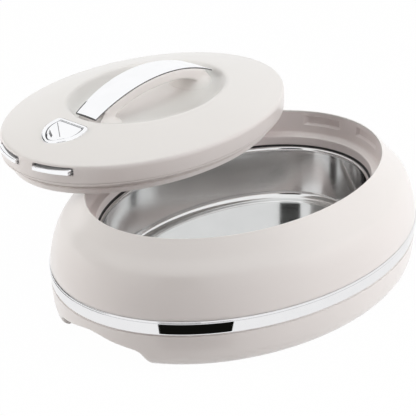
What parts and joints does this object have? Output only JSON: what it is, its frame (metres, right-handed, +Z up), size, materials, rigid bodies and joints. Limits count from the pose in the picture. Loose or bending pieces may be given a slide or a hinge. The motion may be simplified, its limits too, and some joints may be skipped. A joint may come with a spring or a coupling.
{
  "type": "insulated chapati casserole",
  "caption": "Oval insulated casserole with a double-walled base, a polished steel pot, a chrome band and a domed lift-off lid with an arched handle and push-button snap latches.",
  "frame": {"origin": "on the table under the centre of the base", "axes": "+X along the oval's long axis, from the release button's end to the other; +Z up; +Y across, towards the side the lid rests on"},
  "size_m": [0.3656, 0.3489, 0.1665],
  "materials": {
    "casing_white": "satin gloss, warm white",
    "lid_white": "satin gloss, warm white",
    "collar_plastic": "satin",
    "polished_steel": "mirror polished",
    "bright_chrome": "plated, mirror bright",
    "seal_rubber": "matt black",
    "pad_rubber": "matt",
    "foam": "rigid foam",
    "screw_steel": "plain",
    "grey_acetal": "satin",
    "spring_steel": "plain"
  },
  "bodies": {
    "base": {"outer_casing": "casing_white", "bottom_shell": "casing_white", "chrome_band": "bright_chrome", "inner_collar": "collar_plastic", "steel_pot": "polished_steel", "pot_seal": "seal_rubber", "casing_insulation": "foam", "collar_pillars": "collar_plastic", "bottom_screws": "screw_steel", "foot_pads": "pad_rubber"},
    "lid": {"lid_cover": "lid_white", "lid_liner": "lid_white", "lid_seal": "seal_rubber", "lid_insulation": "foam", "handle": "lid_white", "handle_trim": "bright_chrome", "handle_screws": "screw_steel", "button_bezel": "bright_chrome", "button_pin": "screw_steel", "rocker_pin": "screw_steel", "latch_deck": "grey_acetal", "deck_screws": "screw_steel", "latch_keepers": "screw_steel", "button_spring": "spring_steel", "front_latch_spring": "spring_steel", "rear_latch_spring": "spring_steel"},
    "button": {"release_button": "bright_chrome"},
    "front_latch": {"front_latch": "bright_chrome"},
    "rear_latch": {"rear_latch": "bright_chrome"},
    "rocker": {"latch_rocker": "grey_acetal"}
  },
  "joints": [
    {"name": "lid_lift", "type": "slide", "parent": "base", "child": "lid", "axis": [0, 0, 1], "range_m": [0, 0.15]},
    {"name": "button_press", "type": "hinge", "parent": "lid", "child": "button", "pos_m": [-0.11998, 0.10333, 0.1361], "axis": [-0.048, 0.9988, 0], "range_deg": [0, 6.8], "deforming": ["button_spring"]},
    {"name": "front_latch_slide", "type": "slide", "parent": "lid", "child": "front_latch", "axis": [0.9988, 0.048, 0], "range_m": [0, 0.0036], "stiffness_N_per_m": 400, "springref_m": -0.003, "deforming": ["front_latch_spring"]},
    {"name": "rear_latch_slide", "type": "slide", "parent": "lid", "child": "rear_latch", "axis": [-0.9988, -0.048, 0], "range_m": [0, 0.0037], "deforming": ["rear_latch_spring"]},
    {"name": "rocker_turn", "type": "hinge", "parent": "lid", "child": "rocker", "pos_m": [-0.002, 0.109, 0.127], "axis": [0, 0, 1], "range_deg": [-15, 0]}
  ],
  "couplings": [
    {"joint": "button_press", "follows": "front_latch_slide", "rad_per_m": 32.967},
    {"joint": "rear_latch_slide", "follows": "front_latch_slide", "ratio": 1},
    {"joint": "rocker_turn", "follows": "front_latch_slide", "rad_per_m": -71.428}
  ]
}
